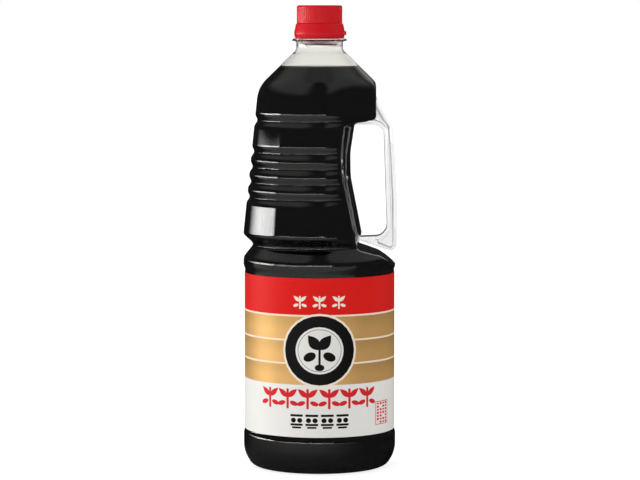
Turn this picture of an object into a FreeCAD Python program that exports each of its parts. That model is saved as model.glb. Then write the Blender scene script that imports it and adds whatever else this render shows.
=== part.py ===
"""A 1.8 litre soy sauce bottle with a clear side handle, a wrapped label and a red screw cap.

Origin at the centre of the base on the standing surface, +Z up, the handle towards +X and
the label's front towards -Y. All lengths are in millimetres and live in the Sizes sheet.
"""

import FreeCAD, Part
import math
import os
import Sketcher

# Driving sizes: alias, value in mm (degrees for angles, plain numbers for counts), meaning.
SIZES = [
    ("body_radius", 51.8, "widest radius, above and below the label panel"),
    ("label_recess", 1.0, "how far the label panel lies under the body radius"),
    ("wall", 0.7, "wall of the blown bottle"),
    ("pushup_radius", 33.0, "radius of the hollow under the base"),
    ("pushup_height", 6.0, "height of that hollow at the axis"),
    ("heel_radius", 46.0, "radius where the heel starts to rise"),
    ("heel_rise", 10.0, "height where the heel reaches the body radius"),
    ("base_height", 23.6, "height of the plain base band"),
    ("panel_step", 1.3, "height of the sloped step at each end of the label panel"),
    ("label_height", 106.7, "height of the label"),
    ("label_margin_low", 1.0, "bare panel under the label"),
    ("label_margin_high", 2.8, "bare panel over the label"),
    ("label_thickness", 0.25, "thickness of the wrapped label"),
    ("low_shoulder_rise", 6.3, "plain band over the label panel"),
    ("waist_radius", 44.9, "radius at the bottom of the waist groove"),
    ("waist_rise", 8.8, "from the plain band up to the waist groove"),
    ("grip_foot_rise", 6.7, "from the waist groove up to the foot of the grip"),
    ("grip_foot_radius", 51.8, "radius at the foot of the tapering grip"),
    ("grip_height", 99.5, "height of the tapering grip"),
    ("grip_top_radius", 41.7, "radius at the top of the grip, before rounding"),
    ("cone_height", 25.3, "height of the conical shoulder"),
    ("neck_radius", 15.7, "outer radius of the plain neck"),
    ("neck_rise", 6.0, "plain neck below the support ring"),
    ("ring_radius", 18.8, "radius of the support ring"),
    ("ring_thickness", 1.6, "thickness of the support ring"),
    ("finish_radius", 13.6, "outer radius of the neck inside the collar and cap"),
    ("finish_height", 20.0, "height of the neck above the support ring"),
    ("finish_wall", 1.6, "wall of the neck above the shoulder"),
    ("groove_depth", 1.6, "depth of the grip's ring grooves"),
    ("groove_round", 4.7, "section radius of the ring grooves"),
    ("groove_first", 25.3, "from the grip's foot to the lowest ring groove"),
    ("groove_pitch", 10.2, "spacing of the close ring grooves"),
    ("groove_gap", 21.3, "from the close grooves up to the single high groove"),
    ("side_azimuth", 55.0, "direction of each flat side panel, from +X"),
    ("side_reach", 47.3, "distance of the side panels from the axis at the waist"),
    ("side_lean", 4.3, "lean of the side panels towards the axis"),
    ("overhang_reach", 38.2, "face of the overhang that the handle's top meets"),
    ("overhang_drop", 21.3, "from the grip's top down to the overhang's lower edge"),
    ("overhang_slope", 2.6, "fall of the overhang's underside"),
    ("throat_reach", 21.2, "deepest face of the finger recess"),
    ("throat_top_drop", 44.0, "from the grip's top to the end of the sloped upper wall"),
    ("throat_length", 16.2, "height of the recess wall's deepest stretch"),
    ("nose_reach", 28.6, "lower end of the recess wall, where the handle's foot joins"),
    ("nose_rise", 7.7, "height of that end over the waist"),
    ("shelf_reach", 41.3, "end of the nearly level shelf under the handle"),
    ("shelf_drop", 6.4, "height of that end under the waist"),
    ("handle_width", 14.0, "width of the handle across the flanges"),
    ("handle_web", 2.4, "thickness of the handle's web"),
    ("handle_reach", 52.6, "outer face of the upright bar at its foot"),
    ("handle_bar", 6.5, "depth of the upright bar at its foot"),
    ("handle_taper", 2.0, "how far the bar leans in from foot to top"),
    ("outer_flange", 2.4, "thickness of the outer flange"),
    ("inner_flange", 2.8, "thickness of the inner flange"),
    ("arm_top_drop", 7.1, "from the grip's top down to the handle's upper corner"),
    ("arm_elbow_drop", 26.2, "from the grip's top down to the handle's elbow"),
    ("gap_top_drop", 25.2, "from the grip's top down to the top of the finger gap"),
    ("gap_foot_rise", 5.6, "from the waist up to the foot of the finger gap"),
    ("arm_foot_drop", 6.0, "from the waist down to the handle's lower corner"),
    ("arm_foot_slope", 9.0, "rise of the lower arm's underside towards the bottle"),
    ("gap_round", 8.0, "rounding of the finger gap's corners"),
    ("collar_height", 10.4, "height of the collar over the support ring"),
    ("collar_wall", 3.9, "thickness of the collar at its swell"),
    ("collar_top_wall", 2.6, "thickness of the collar under the cap"),
    ("cap_wall", 1.6, "thickness of the screw cap's side"),
    ("cap_plate", 2.5, "thickness of the cap's top over the neck's rim"),
    ("cap_clearance", 0.2, "gap between the neck and the collar or cap around it"),
    ("knurl_depth", 0.4, "depth of the cap's fine grip lines"),
    ("knurl_count", 60, "number of grip lines round the cap"),
    ("headspace", 10.9, "from the neck's foot down to the level of the soy sauce"),
]

CLOSE_GROOVES = 4   # ring grooves at one pitch in the lower grip
CUT_MARGIN = 12.0   # how far the cutting outlines reach past the bottle
ROOT_REACH = 14.0   # inner end of the handle blank, inside the bottle's form


class Size:
    """A number together with the sheet expression that gives it, so both stay in step."""

    def __init__(self, value, text):
        self.value = value
        self.text = text

    def __add__(self, other):
        other = as_size(other)
        return Size(self.value + other.value, f"({self.text} + {other.text})")

    def __sub__(self, other):
        other = as_size(other)
        return Size(self.value - other.value, f"({self.text} - {other.text})")

    def __mul__(self, other):
        other = as_size(other)
        return Size(self.value * other.value, f"({self.text} * {other.text})")

    def __truediv__(self, other):
        other = as_size(other)
        return Size(self.value / other.value, f"({self.text} / {other.text})")


def as_size(number):
    """Return a Size unchanged, or a plain number as a Size."""
    return number if isinstance(number, Size) else Size(float(number), repr(float(number)))


def make_sheet(doc):
    """Write the driving sizes to the sheet and return them as Size objects by alias."""
    sheet = doc.addObject("Spreadsheet::Sheet", "Sizes")
    sizes = {}
    for row, (alias, value, meaning) in enumerate(SIZES, start=1):
        sheet.set(f"A{row}", alias)
        sheet.set(f"B{row}", str(value))
        sheet.set(f"C{row}", meaning)
        sheet.setAlias(f"B{row}", alias)
        sizes[alias] = Size(float(value), f"Sizes.{alias}")
    doc.recompute()
    return sizes


def add_stations(sizes):
    """Add the heights that follow from stacking the driving sizes, from the base upwards."""
    panel = sizes["label_margin_low"] + sizes["label_height"] + sizes["label_margin_high"]
    sizes["z_panel_low"] = sizes["base_height"] + sizes["panel_step"]
    sizes["z_panel_high"] = sizes["z_panel_low"] + panel
    sizes["z_band"] = sizes["z_panel_high"] + sizes["panel_step"]
    sizes["z_low_shoulder"] = sizes["z_band"] + sizes["low_shoulder_rise"]
    sizes["z_waist"] = sizes["z_low_shoulder"] + sizes["waist_rise"]
    sizes["z_grip_foot"] = sizes["z_waist"] + sizes["grip_foot_rise"]
    sizes["z_grip_top"] = sizes["z_grip_foot"] + sizes["grip_height"]
    sizes["z_neck_foot"] = sizes["z_grip_top"] + sizes["cone_height"]
    sizes["z_ring"] = sizes["z_neck_foot"] + sizes["neck_rise"]
    sizes["z_ring_top"] = sizes["z_ring"] + sizes["ring_thickness"]
    sizes["z_rim"] = sizes["z_ring_top"] + sizes["finish_height"]
    sizes["z_collar_top"] = sizes["z_ring_top"] + sizes["collar_height"]
    sizes["z_cap_top"] = sizes["z_rim"] + sizes["cap_plate"]
    sizes["z_level"] = sizes["z_neck_foot"] - sizes["headspace"]
    sizes["panel_radius"] = sizes["body_radius"] - sizes["label_recess"]
    sizes["grip_taper"] = (
        (sizes["grip_foot_radius"] - sizes["grip_top_radius"]) / sizes["grip_height"]
    )


class Corner:
    """One corner of an outline: its place in the sketch and its rounding, if any."""

    def __init__(self, across, up, rounding=None):
        self.across = as_size(across)
        self.up = as_size(up)
        self.rounding = None if rounding is None else as_size(rounding)
        self.place = FreeCAD.Vector(self.across.value, self.up.value, 0)


def tangent_points(before, corner, after):
    """Return where a corner's rounding starts and ends, and the middle of its arc."""
    inward = (before.place - corner.place).normalize()
    outward = (after.place - corner.place).normalize()
    half_angle = inward.getAngle(outward) / 2
    reach = corner.rounding.value / math.tan(half_angle)
    bisector = (inward + outward).normalize()
    middle = corner.rounding.value / math.sin(half_angle) - corner.rounding.value
    return (
        corner.place + inward * reach,
        corner.place + bisector * middle,
        corner.place + outward * reach,
    )


def bind_constraint(sketch, kind, targets, size):
    """Add a dimension to a sketch and bind it to its sheet expression."""
    index = sketch.addConstraint(Sketcher.Constraint(kind, *targets, size.value))
    sketch.setExpression(f"Constraints[{index}]", size.text)


def pin_point(sketch, geometry, position, across, up):
    """Dimension a point from the sketch's origin."""
    if abs(across.value) < 1e-9:
        sketch.addConstraint(Sketcher.Constraint("PointOnObject", geometry, position, -2))
    else:
        bind_constraint(sketch, "DistanceX", (-1, 1, geometry, position), across)
    if abs(up.value) < 1e-9:
        sketch.addConstraint(Sketcher.Constraint("PointOnObject", geometry, position, -1))
    else:
        bind_constraint(sketch, "DistanceY", (-1, 1, geometry, position), up)


def draw_outline(sketch, corners):
    """Draw a closed outline of lines with rounded corners, fully dimensioned."""
    count = len(corners)
    ends = []
    for index, corner in enumerate(corners):
        if corner.rounding is None:
            ends.append((corner.place, None, corner.place))
        else:
            after = corners[(index + 1) % count]
            ends.append(tangent_points(corners[index - 1], corner, after))
    lines = []
    for index in range(count):
        start = ends[index][2]
        finish = ends[(index + 1) % count][0]
        lines.append(sketch.addGeometry(Part.LineSegment(start, finish)))
    for index, corner in enumerate(corners):
        arriving = lines[index - 1]
        leaving = lines[index]
        start, middle, finish = ends[index]
        if corner.rounding is None:
            sketch.addConstraint(Sketcher.Constraint("Coincident", arriving, 2, leaving, 1))
            pin_point(sketch, leaving, 1, corner.across, corner.up)
            continue
        arc = sketch.addGeometry(Part.Arc(start, middle, finish))
        turns_left = (middle - start).cross(finish - middle).z > 0
        first, last = (1, 2) if turns_left else (2, 1)
        sketch.addConstraint(Sketcher.Constraint("Tangent", arriving, 2, arc, first))
        sketch.addConstraint(Sketcher.Constraint("Tangent", arc, last, leaving, 1))
        bind_constraint(sketch, "Radius", (arc,), corner.rounding)
        point = sketch.addGeometry(Part.Point(corner.place), True)
        sketch.addConstraint(Sketcher.Constraint("PointOnObject", point, 1, arriving))
        sketch.addConstraint(Sketcher.Constraint("PointOnObject", point, 1, leaving))
        pin_point(sketch, point, 1, corner.across, corner.up)


def plane_of(body, role):
    """Return one of a body's own origin planes or axes."""
    return next(item for item in body.Origin.OriginFeatures if item.Role == role)


def add_sketch(body, name, role="XZ_Plane"):
    """Add an empty sketch on one of a body's origin planes."""
    sketch = body.newObject("Sketcher::SketchObject", name)
    sketch.AttachmentSupport = [(plane_of(body, role), "")]
    sketch.MapMode = "FlatFace"
    return sketch


def add_revolution(body, name, corners):
    """Turn an outline in the XZ plane once round the Z axis."""
    sketch = add_sketch(body, f"{name}_outline")
    draw_outline(sketch, corners)
    turned = body.newObject("PartDesign::Revolution", name)
    turned.Profile = sketch
    turned.ReferenceAxis = (plane_of(body, "Z_Axis"), [""])
    turned.Angle = 360
    body.Document.recompute()
    return turned


def add_boolean(doc, kind, name, base, tool):
    """Combine two objects with a Part boolean and return the result."""
    result = doc.addObject(f"Part::{kind}", name)
    result.Base = base
    result.Tool = tool
    doc.recompute()
    return result


def bind(thing, **sizes):
    """Bind properties of an object to sheet expressions."""
    for name, size in sizes.items():
        thing.setExpression(name, as_size(size).text)


def body_outline(s, inset, top):
    """Outline of the turned bottle from the axis to the rim, moved inwards by an inset."""
    neck_inset = inset * s["finish_wall"] / s["wall"]
    return [
        Corner(0, s["pushup_height"] + inset),
        Corner(s["pushup_radius"], inset, 8.0),
        Corner(s["heel_radius"] - inset, inset, 7.0),
        Corner(s["body_radius"] - inset, s["heel_rise"], 20.0),
        Corner(s["body_radius"] - inset, s["base_height"], 0.6),
        Corner(s["panel_radius"] - inset, s["z_panel_low"], 0.6),
        Corner(s["panel_radius"] - inset, s["z_panel_high"], 0.6),
        Corner(s["body_radius"] - inset, s["z_band"], 0.6),
        Corner(s["body_radius"] - inset, s["z_low_shoulder"], 5.0),
        Corner(s["waist_radius"] - inset, s["z_waist"], 2.2),
        Corner(s["grip_foot_radius"] - inset, s["z_grip_foot"], 2.6),
        Corner(s["grip_top_radius"] - inset, s["z_grip_top"], 22.0),
        Corner(s["neck_radius"] - neck_inset, s["z_neck_foot"]),
    ] + neck_outline(s, neck_inset, top)


def neck_outline(s, inset, top):
    """Rest of the outline: support ring and rim outside, or a straight bore inside."""
    if inset.value > 0:
        bore = s["finish_radius"] - inset
        return [Corner(bore, s["z_ring"]), Corner(bore, top), Corner(0, top)]
    return [
        Corner(s["neck_radius"], s["z_ring"]),
        Corner(s["ring_radius"], s["z_ring"]),
        Corner(s["ring_radius"], s["z_ring_top"]),
        Corner(s["finish_radius"], s["z_ring_top"]),
        Corner(s["finish_radius"], top),
        Corner(0, top),
    ]


def recess_outline(s, inset):
    """Side outline of what the overhang and the finger recess take off the turned bottle."""
    clear = s["body_radius"] + CUT_MARGIN
    overhang = s["z_grip_top"] - s["overhang_drop"] + inset
    throat = s["z_grip_top"] - s["throat_top_drop"]
    return [
        Corner(clear, s["z_neck_foot"]),
        Corner(s["overhang_reach"] - inset, s["z_neck_foot"]),
        Corner(s["overhang_reach"] - inset, overhang, 3.0),
        Corner(s["throat_reach"] + 3.0 - inset, overhang - s["overhang_slope"], 3.0),
        Corner(s["throat_reach"] - inset, throat, 30.0),
        Corner(s["throat_reach"] + 0.2 - inset, throat - s["throat_length"], 40.0),
        Corner(s["nose_reach"] - inset, s["z_waist"] + s["nose_rise"], 3.0),
        Corner(s["throat_reach"] + 4.2 - inset, s["z_waist"] - 1.6 - inset, 1.8),
        Corner(s["shelf_reach"] - inset, s["z_waist"] - s["shelf_drop"] - inset, 12.0),
        Corner(s["body_radius"], s["z_band"] + 1.0 - inset),
        Corner(clear, s["z_band"] + 1.0 - inset),
    ]


def add_ring_grooves(body, name, s, inset):
    """Cut the ring grooves of the grip: a close set below and a single one near the top."""
    heights = [
        s["z_grip_foot"] + s["groove_first"] + s["groove_pitch"] * number
        for number in range(CLOSE_GROOVES)
    ]
    heights.append(heights[-1] + s["groove_gap"])
    sketch = add_sketch(body, f"{name}_sections")
    for height in heights:
        surface = s["grip_foot_radius"] - (height - s["z_grip_foot"]) * s["grip_taper"]
        centre = surface + s["groove_round"] - s["groove_depth"]
        place = FreeCAD.Vector(centre.value, height.value, 0)
        radius = s["groove_round"] + inset
        circle = sketch.addGeometry(Part.Circle(place, FreeCAD.Vector(0, 0, 1), radius.value))
        pin_point(sketch, circle, 3, centre, height)
        bind_constraint(sketch, "Radius", (circle,), radius)
    grooves = body.newObject("PartDesign::Groove", name)
    grooves.Profile = sketch
    grooves.ReferenceAxis = (plane_of(body, "Z_Axis"), [""])
    grooves.Angle = 360
    body.Document.recompute()
    return grooves


def add_side_panel(doc, name, s, inset, side):
    """Return a block whose inner face is one of the flat, leaning side panels of the grip."""
    block = doc.addObject("Part::Box", name)
    height = s["grip_height"] + s["cone_height"]
    bind(block, Length=s["body_radius"], Width=s["body_radius"] * 2, Height=height)
    swing = FreeCAD.Rotation(FreeCAD.Vector(0, 0, 1), side * s["side_azimuth"].value)
    lean = FreeCAD.Rotation(FreeCAD.Vector(0, 1, 0), -s["side_lean"].value)
    block.Placement = FreeCAD.Placement(FreeCAD.Vector(), swing.multiply(lean))
    reach = s["side_reach"] - inset
    azimuth = f"({side} * {s['side_azimuth'].text})"
    half = s["body_radius"].text
    bind(
        block,
        **{
            ".Placement.Base.x": Size(0, f"{reach.text} * cos({azimuth}) + {half} * sin({azimuth})"),
            ".Placement.Base.y": Size(0, f"{reach.text} * sin({azimuth}) - {half} * cos({azimuth})"),
            ".Placement.Base.z": s["z_waist"],
        },
    )
    doc.recompute()
    return block


def make_form(doc, name, s, inset, top):
    """Return the bottle's solid form: turned, grooved, recessed and flattened at the grip."""
    body = doc.addObject("PartDesign::Body", f"{name}_turned")
    add_revolution(body, f"{name}_turning", body_outline(s, inset, top))
    add_ring_grooves(body, f"{name}_grooves", s, inset)
    sketch = add_sketch(body, f"{name}_recess_outline")
    draw_outline(sketch, recess_outline(s, inset))
    recess = body.newObject("PartDesign::Pocket", f"{name}_recess")
    recess.Profile = sketch
    recess.SideType = "Symmetric"
    recess.Type = "ThroughAll"
    doc.recompute()
    form = body
    for side in (-1, 1):
        word = "front" if side < 0 else "back"
        panel = add_side_panel(doc, f"{name}_{word}_panel", s, inset, side)
        form = add_boolean(doc, "Cut", f"{name}_{word}_flattened", form, panel)
    return form


def make_label(doc, s):
    """The label: a thin sleeve wrapped round its panel."""
    tubes = []
    for name, extra in (("label_outside", s["label_thickness"]), ("label_inside", as_size(0))):
        tube = doc.addObject("Part::Cylinder", name)
        bind(tube, Radius=s["panel_radius"] + extra, Height=s["label_height"])
        bind(tube, **{".Placement.Base.z": s["z_panel_low"] + s["label_margin_low"]})
        tubes.append(tube)
    doc.recompute()
    return add_boolean(doc, "Cut", "label", tubes[0], tubes[1])


def handle_outside(s, inset):
    """Outer side of the handle from its top root to its lower corner, moved in by an inset."""
    top = s["z_grip_top"] - s["arm_top_drop"] - inset
    reach = s["handle_reach"] - inset
    head = reach - s["handle_taper"]
    elbow = s["z_grip_top"] - s["arm_elbow_drop"]
    return [
        Corner(ROOT_REACH, top),
        Corner(s["overhang_reach"] + 1.0 - inset, top),
        Corner(head - 4.0, elbow + 3.4),
        Corner(head - 1.0, elbow),
        Corner(head + 0.4, elbow - 20.0, 60.0),
        Corner(reach, s["z_waist"] + 30.0, 60.0),
        Corner(reach, s["z_waist"] - s["arm_foot_drop"] + inset, 4.6 - inset.value),
    ]


def handle_inside(s, outset):
    """Inner side of the handle, round the finger gap from its foot to its head."""
    reach = s["handle_reach"] - s["handle_bar"] + outset
    head = s["z_grip_top"] - s["gap_top_drop"] + outset
    rounding = s["gap_round"] + outset
    return [
        Corner(reach, s["z_waist"] + s["gap_foot_rise"] - outset, rounding),
        Corner(reach - s["handle_taper"] + 0.3, s["z_waist"] + 55.0, 60.0),
        Corner(reach - s["handle_taper"] - 0.6, head, rounding),
        Corner(ROOT_REACH, head),
    ]


def handle_outline(s):
    """Outline of the handle blank, whose two arms run on into the bottle's form."""
    underside = s["z_waist"] - s["arm_foot_drop"] + s["arm_foot_slope"]
    none = as_size(0)
    return handle_outside(s, none) + [
        Corner(s["nose_reach"] - 4.0, underside),
        Corner(ROOT_REACH, underside),
        Corner(ROOT_REACH, s["z_waist"] + s["gap_foot_rise"] - 0.8),
    ] + handle_inside(s, none)


def channel_outline(s):
    """Outline of the channel in each side of the handle, between its two flanges."""
    end = s["shelf_reach"] - 2.0
    floor = s["z_waist"] - s["arm_foot_drop"] + s["outer_flange"]
    return handle_outside(s, s["outer_flange"]) + [
        Corner(end, floor + s["arm_foot_slope"] * 0.42),
        Corner(end, s["z_waist"] + s["gap_foot_rise"] - s["inner_flange"]),
    ] + handle_inside(s, s["inner_flange"])


def make_handle(doc, s, outer_form):
    """The handle: a clear loop of I section, its ends cut to meet the bottle face to face."""
    blank = doc.addObject("PartDesign::Body", "handle_blank")
    sketch = add_sketch(blank, "handle_outline")
    draw_outline(sketch, handle_outline(s))
    pad = blank.newObject("PartDesign::Pad", "handle_pad")
    pad.Profile = sketch
    pad.SideType = "Symmetric"
    bind(pad, Length=s["handle_width"])
    doc.recompute()
    sketch = add_sketch(blank, "handle_channel_outline")
    sketch.setExpression(".AttachmentOffset.Base.z", (s["handle_web"] / 2).text)
    draw_outline(sketch, channel_outline(s))
    channel = blank.newObject("PartDesign::Pocket", "handle_channel")
    channel.Profile = sketch
    channel.Type = "ThroughAll"
    channel.Reversed = True
    doc.recompute()
    mirrored = blank.newObject("PartDesign::Mirrored", "handle_channels")
    mirrored.Originals = [channel]
    mirrored.MirrorPlane = (plane_of(blank, "XZ_Plane"), [""])
    blank.Tip = mirrored
    doc.recompute()
    return add_boolean(doc, "Cut", "handle", blank, outer_form)


def make_collar(doc, s):
    """The collar: the cap's lower tier, seated on the support ring round the neck."""
    collar = doc.addObject("PartDesign::Body", "collar")
    bore = s["finish_radius"] + s["cap_clearance"]
    swell = s["z_ring_top"] + s["collar_height"] * 0.35
    outline = [
        Corner(bore, s["z_ring_top"]),
        Corner(bore + s["collar_wall"] - 0.8, s["z_ring_top"]),
        Corner(bore + s["collar_wall"], swell, 6.0),
        Corner(bore + s["collar_top_wall"], s["z_collar_top"], 1.2),
        Corner(bore, s["z_collar_top"]),
    ]
    add_revolution(collar, "collar_turning", outline)
    return collar


def make_cap(doc, s):
    """The screw cap: a cup over the neck's rim with fine grip lines round its side."""
    cap = doc.addObject("PartDesign::Body", "cap")
    bore = s["finish_radius"] + s["cap_clearance"]
    outside = bore + s["cap_wall"]
    outline = [
        Corner(0, s["z_rim"]),
        Corner(bore, s["z_rim"]),
        Corner(bore, s["z_collar_top"]),
        Corner(outside, s["z_collar_top"]),
        Corner(outside, s["z_cap_top"], 1.2),
        Corner(0, s["z_cap_top"]),
    ]
    add_revolution(cap, "cap_turning", outline)
    sketch = add_sketch(cap, "cap_knurl_section", "XY_Plane")
    corners = [
        Corner(outside - s["knurl_depth"], 0),
        Corner(outside + 1.0, as_size(0) - s["knurl_depth"] * 2),
        Corner(outside + 1.0, s["knurl_depth"] * 2),
    ]
    draw_outline(sketch, corners)
    sketch.setExpression(".AttachmentOffset.Base.z", (s["z_collar_top"] + 0.8).text)
    line = cap.newObject("PartDesign::Pocket", "cap_knurl")
    line.Profile = sketch
    line.Reversed = True
    bind(line, Length=s["z_cap_top"] - s["z_collar_top"] - 2.4)
    doc.recompute()
    lines = cap.newObject("PartDesign::PolarPattern", "cap_knurls")
    lines.Originals = [line]
    lines.Axis = (plane_of(cap, "Z_Axis"), [""])
    lines.Angle = 360
    bind(lines, Occurrences=s["knurl_count"])
    cap.Tip = lines
    doc.recompute()
    return cap


def make_soy_sauce(doc, s, cavity):
    """The soy sauce: what fills the bottle's inside up to its level."""
    filled = doc.addObject("Part::Cylinder", "filled_height")
    bind(filled, Radius=s["body_radius"] + CUT_MARGIN, Height=s["z_level"])
    doc.recompute()
    return add_boolean(doc, "Common", "soy_sauce", cavity, filled)


def check_document(doc, parts):
    """Stop if an object failed to build or a sub-part's shape isn't a sound solid."""
    for thing in doc.Objects:
        if {"Invalid", "Error"} & set(thing.State):
            raise RuntimeError(f"{thing.Name} failed: {thing.State}")
    for part in parts:
        shape = part.Shape
        if shape.isNull() or not shape.isValid() or len(shape.Solids) != 1:
            raise RuntimeError(f"{part.Label} isn't one valid solid")


def main():
    """Build the document, check it and write each sub-part to its own file."""
    doc = FreeCAD.newDocument("SoySauceBottle")
    s = make_sheet(doc)
    add_stations(s)
    outer_form = make_form(doc, "outer", s, as_size(0), s["z_rim"])
    cavity = make_form(doc, "cavity", s, s["wall"], s["z_rim"] + 1.0)
    parts = [
        add_boolean(doc, "Cut", "bottle", outer_form, cavity),
        make_soy_sauce(doc, s, cavity),
        make_handle(doc, s, outer_form),
        make_label(doc, s),
        make_collar(doc, s),
        make_cap(doc, s),
    ]
    for part in parts:
        part.Label = part.Name
    doc.recompute()
    check_document(doc, parts)
    os.makedirs("parts", exist_ok=True)
    for part in parts:
        part.Shape.exportStep(f"parts/{part.Label}.step")
        box = part.Shape.BoundBox
        print(
            f"{part.Label}: {part.Shape.Volume / 1000:.1f} ml, "
            f"x {box.XMin:.1f} to {box.XMax:.1f}, y {box.YMin:.1f} to {box.YMax:.1f}, "
            f"z {box.ZMin:.1f} to {box.ZMax:.1f}"
        )


main()
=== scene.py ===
"""Looks of a 1.8 litre soy sauce bottle: clear shell, liquid, side handle, label, collar, cap.

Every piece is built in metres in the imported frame: origin at the centre of the base, +Z up,
the handle towards +X and the label's front towards -Y. Sizes are given in millimetres.
"""

from __future__ import annotations

import logging
import math
from dataclasses import dataclass, field
from enum import Enum
from typing import Callable

import bpy
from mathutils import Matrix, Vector

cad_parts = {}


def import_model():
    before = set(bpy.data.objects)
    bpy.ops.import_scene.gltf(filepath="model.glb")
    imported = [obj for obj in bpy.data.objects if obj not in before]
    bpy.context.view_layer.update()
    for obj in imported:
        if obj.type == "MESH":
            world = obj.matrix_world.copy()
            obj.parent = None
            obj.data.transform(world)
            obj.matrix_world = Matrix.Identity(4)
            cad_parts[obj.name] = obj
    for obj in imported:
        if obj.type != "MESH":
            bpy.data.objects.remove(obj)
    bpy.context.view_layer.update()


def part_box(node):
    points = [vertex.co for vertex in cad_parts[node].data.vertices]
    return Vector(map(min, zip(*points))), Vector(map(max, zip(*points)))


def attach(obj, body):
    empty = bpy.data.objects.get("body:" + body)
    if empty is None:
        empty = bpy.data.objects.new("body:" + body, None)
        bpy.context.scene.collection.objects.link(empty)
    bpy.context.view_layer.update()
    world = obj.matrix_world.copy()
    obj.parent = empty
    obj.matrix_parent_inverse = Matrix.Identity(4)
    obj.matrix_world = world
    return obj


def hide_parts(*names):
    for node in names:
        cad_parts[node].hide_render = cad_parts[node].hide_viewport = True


LOG = logging.getLogger("soy_sauce_bottle")
MM = 0.001
BODY = "root"
Point = tuple[float, float]
Piece = bpy.types.Object
Material = bpy.types.Material
Tree = bpy.types.NodeTree
Socket = bpy.types.NodeSocket


class InkLayer(Enum):
    """Print layers on the label, from the film outwards."""

    LOW = 1
    MIDDLE = 2
    HIGH = 3
    TOP = 4
    LINE = 5
    MOTIF = 6


class Ink(Enum):
    """Inks of the label's prints: the name and the colour of each."""

    RED = ("print_red_ink", "#e0242a")
    BLACK = ("print_black_ink", "#0b0a0a")
    CREAM = ("print_cream_ink", "#fdf0e0")
    WHITE = ("print_white_ink", "#f6ebe8")
    GREY = ("print_grey_ink", "#f1efec")


# --- Curves ---


@dataclass(frozen=True)
class Corner:
    """A corner of an outline in millimetres, with the radius that rounds it."""

    across: float
    up: float
    rounding: float = 0.0


def along(start: Point, finish: Point, step: float) -> list[Point]:
    """Divide a straight run evenly.

    Args:
        start: First point, which is left out of the result.
        finish: Last point, which is the result's last point.
        step: Longest spacing between points.

    Returns:
        The points after the start.
    """
    length = math.dist(start, finish)
    count = max(1, math.ceil(length / step))
    (x, y), (far_x, far_y) = start, finish
    shares = range(1, count + 1)
    return [(x + (far_x - x) * i / count, y + (far_y - y) * i / count) for i in shares]


def round_corner(before: Corner, corner: Corner, after: Corner, step: float) -> list[Point]:
    """Return the points of the arc that rounds a corner, or the corner alone."""
    here = Vector((corner.across, corner.up))
    if corner.rounding <= 0:
        return [(here.x, here.y)]
    inward = (Vector((before.across, before.up)) - here).normalized()
    outward = (Vector((after.across, after.up)) - here).normalized()
    half = inward.angle(outward) / 2
    reach = corner.rounding / math.tan(half)
    centre = here + (inward + outward).normalized() * corner.rounding / math.sin(half)
    first = here + inward * reach - centre
    last = here + outward * reach - centre
    sweep = math.pi - 2 * half
    turn = 1 if first.x * last.y - first.y * last.x > 0 else -1
    count = max(3, math.ceil(corner.rounding * sweep / step), math.ceil(math.degrees(sweep) / 9))
    start = math.atan2(first.y, first.x)
    angles = [start + turn * sweep * i / count for i in range(count + 1)]
    radius = corner.rounding
    return [(centre.x + radius * math.cos(a), centre.y + radius * math.sin(a)) for a in angles]


def trace(corners: list[Corner], step: float, closed: bool = False) -> list[Point]:
    """Turn corners into a chain of points, with rounded corners and divided straights.

    Args:
        corners: The outline's corners in order.
        step: Longest spacing of the points, in millimetres.
        closed: Whether the last corner leads back to the first.

    Returns:
        The chain's points in millimetres.
    """
    count = len(corners)
    chain: list[Point] = []
    for i, corner in enumerate(corners):
        if not closed and i in (0, count - 1):
            points = [(corner.across, corner.up)]
        else:
            points = round_corner(corners[i - 1], corner, corners[(i + 1) % count], step)
        if chain:
            chain += along(chain[-1], points[0], step)[:-1]
        chain += points
    if closed:
        chain += along(chain[-1], chain[0], step)[:-1]
    return chain


def smooth_step(low: float, high: float, value: float) -> float:
    """Rise smoothly from 0 at low to 1 at high."""
    share = min(1.0, max(0.0, (value - low) / (high - low)))
    return share * share * (3 - 2 * share)


def soft_min(first: float, second: float, width: float) -> float:
    """Return the smaller value, blended over a width where the two are close."""
    share = max(width - abs(first - second), 0.0) / width
    return min(first, second) - share * share * width / 4


def offset_chain(chain: list[Point], inset: float) -> list[Point]:
    """Move an open chain to its left by an inset, keeping its ends on their own level."""
    moved = []
    for i, (across, up) in enumerate(chain):
        before = chain[max(i - 1, 0)]
        after = chain[min(i + 1, len(chain) - 1)]
        length = math.dist(before, after) or 1.0
        moved.append(
            (
                across - inset * (after[1] - before[1]) / length,
                up + inset * (after[0] - before[0]) / length,
            )
        )
    return moved


# --- Hand tools ---


def deselect_all() -> None:
    """Leave object mode with nothing selected."""
    if bpy.context.mode != "OBJECT":
        bpy.ops.object.mode_set(mode="OBJECT")
    bpy.ops.object.select_all(action="DESELECT")


def pick(piece: Piece) -> None:
    """Make one object the only selected and active one."""
    deselect_all()
    piece.select_set(True)
    bpy.context.view_layer.objects.active = piece


def close_skin(weld: float = 0.0) -> None:
    """Turn all normals of the mesh in hand outwards, after welding what is nearer than weld."""
    bpy.ops.object.mode_set(mode="EDIT")
    bpy.ops.mesh.select_all(action="SELECT")
    if weld:
        bpy.ops.mesh.remove_doubles(threshold=weld)
    bpy.ops.mesh.normals_make_consistent(inside=False)
    bpy.ops.object.mode_set(mode="OBJECT")


def settle(piece: Piece, name: str) -> Piece:
    """Name a piece and move its place into its mesh."""
    pick(piece)
    bpy.ops.object.transform_apply(location=True, rotation=True, scale=True)
    piece.name = name
    piece.data.name = name
    return piece


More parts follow.
